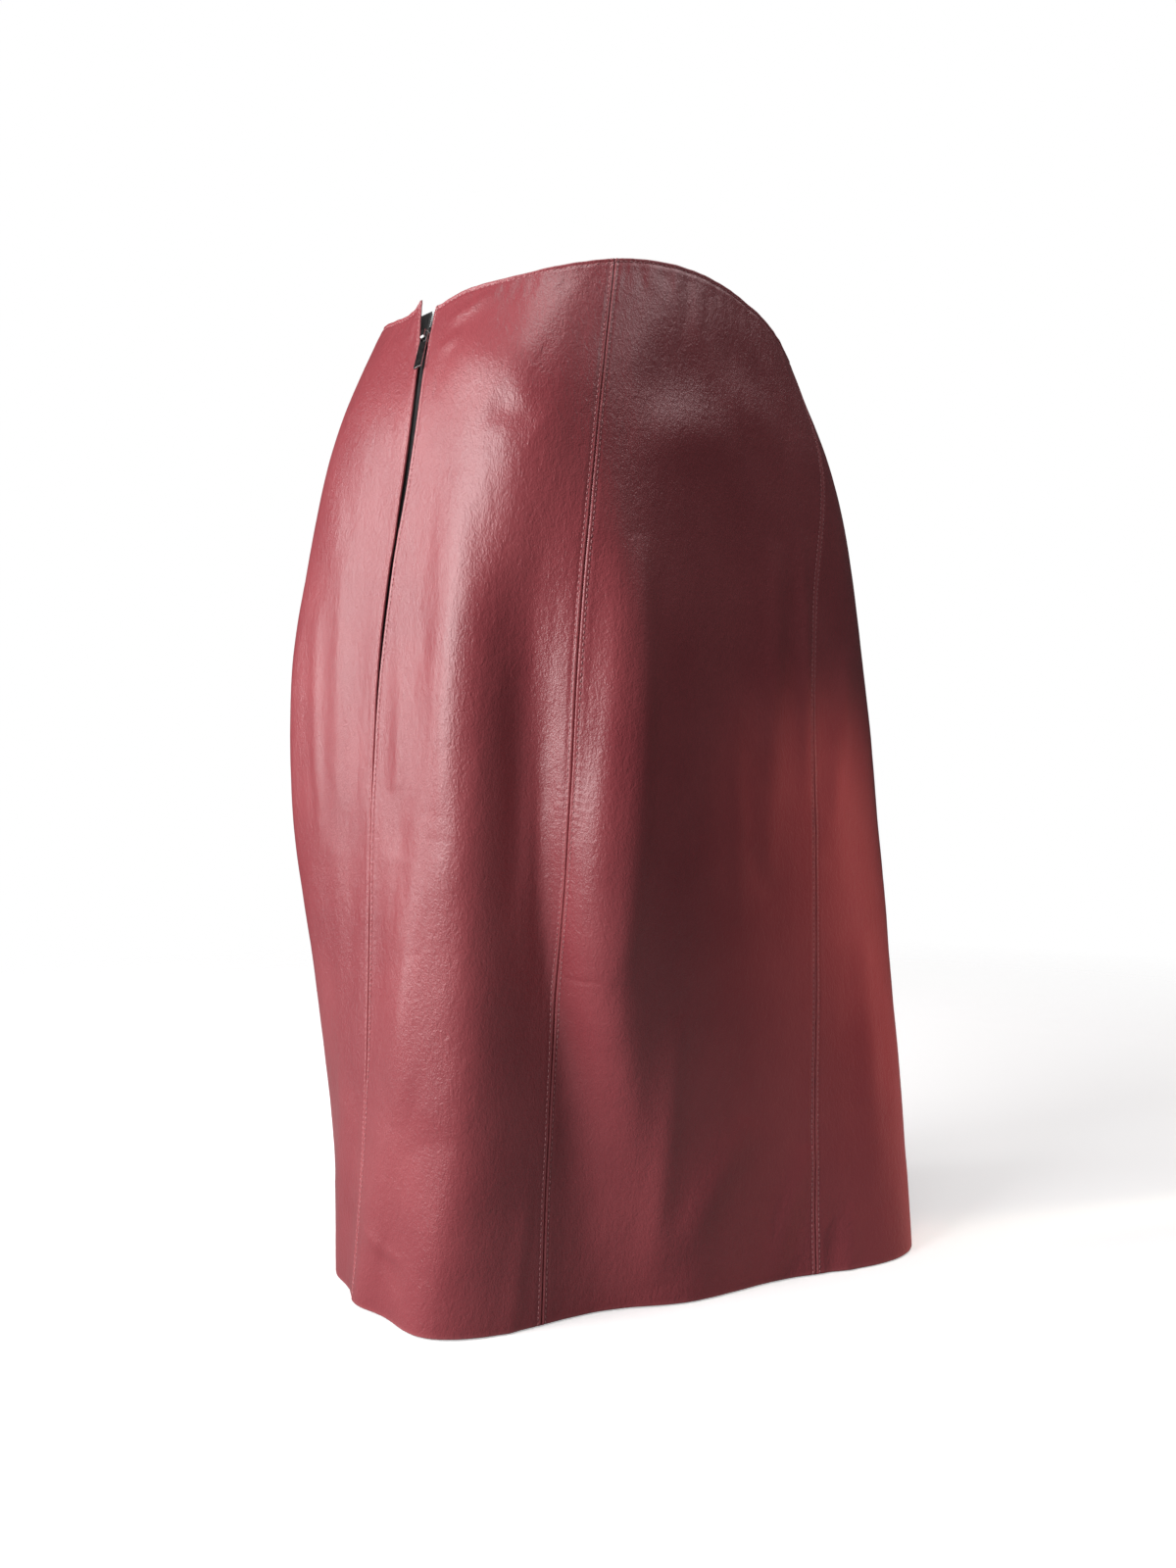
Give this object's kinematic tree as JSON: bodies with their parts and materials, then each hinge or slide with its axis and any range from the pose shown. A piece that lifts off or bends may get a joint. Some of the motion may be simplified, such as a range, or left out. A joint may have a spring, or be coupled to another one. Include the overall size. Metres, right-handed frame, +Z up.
{
  "type": "leather skirt",
  "caption": "Knee-length straight leather skirt, filled out as worn, with shaped panels, an edge-stitched waist and a side zip whose pull tab swings.",
  "frame": {"origin": "middle of the waist opening, at the height of the waist edge by the zip, where the wearer holds the skirt", "axes": "+Z up, out of the waist; the front of the waist faces -Y; +X is the wearer's left, where the zip is"},
  "size_m": [0.3547, 0.262, 0.5637],
  "materials": {
    "burgundy_leather": "semi-gloss nappa with a fine grain",
    "black_tape": "woven polyester tape",
    "black_nylon": "nylon coil",
    "dark_metal": "polished gunmetal"
  },
  "bodies": {
    "skirt": {"back_side_left": "burgundy_leather", "back_centre": "burgundy_leather", "back_side_right": "burgundy_leather", "front_side_right": "burgundy_leather", "front_centre": "burgundy_leather", "front_side_left": "burgundy_leather", "zip_tape_back": "black_tape", "zip_tape_front": "black_tape", "zip_chain": "black_nylon", "zip_slider": "dark_metal"},
    "pull": {"zip_pull": "dark_metal"}
  },
  "joints": [
    {"name": "pull_swing", "type": "hinge", "parent": "skirt", "child": "pull", "pos_m": [0.1388, 0.02353, -0.01653], "axis": [0.2813, -0.9327, -0.2257], "range_deg": [0, 140]}
  ]
}
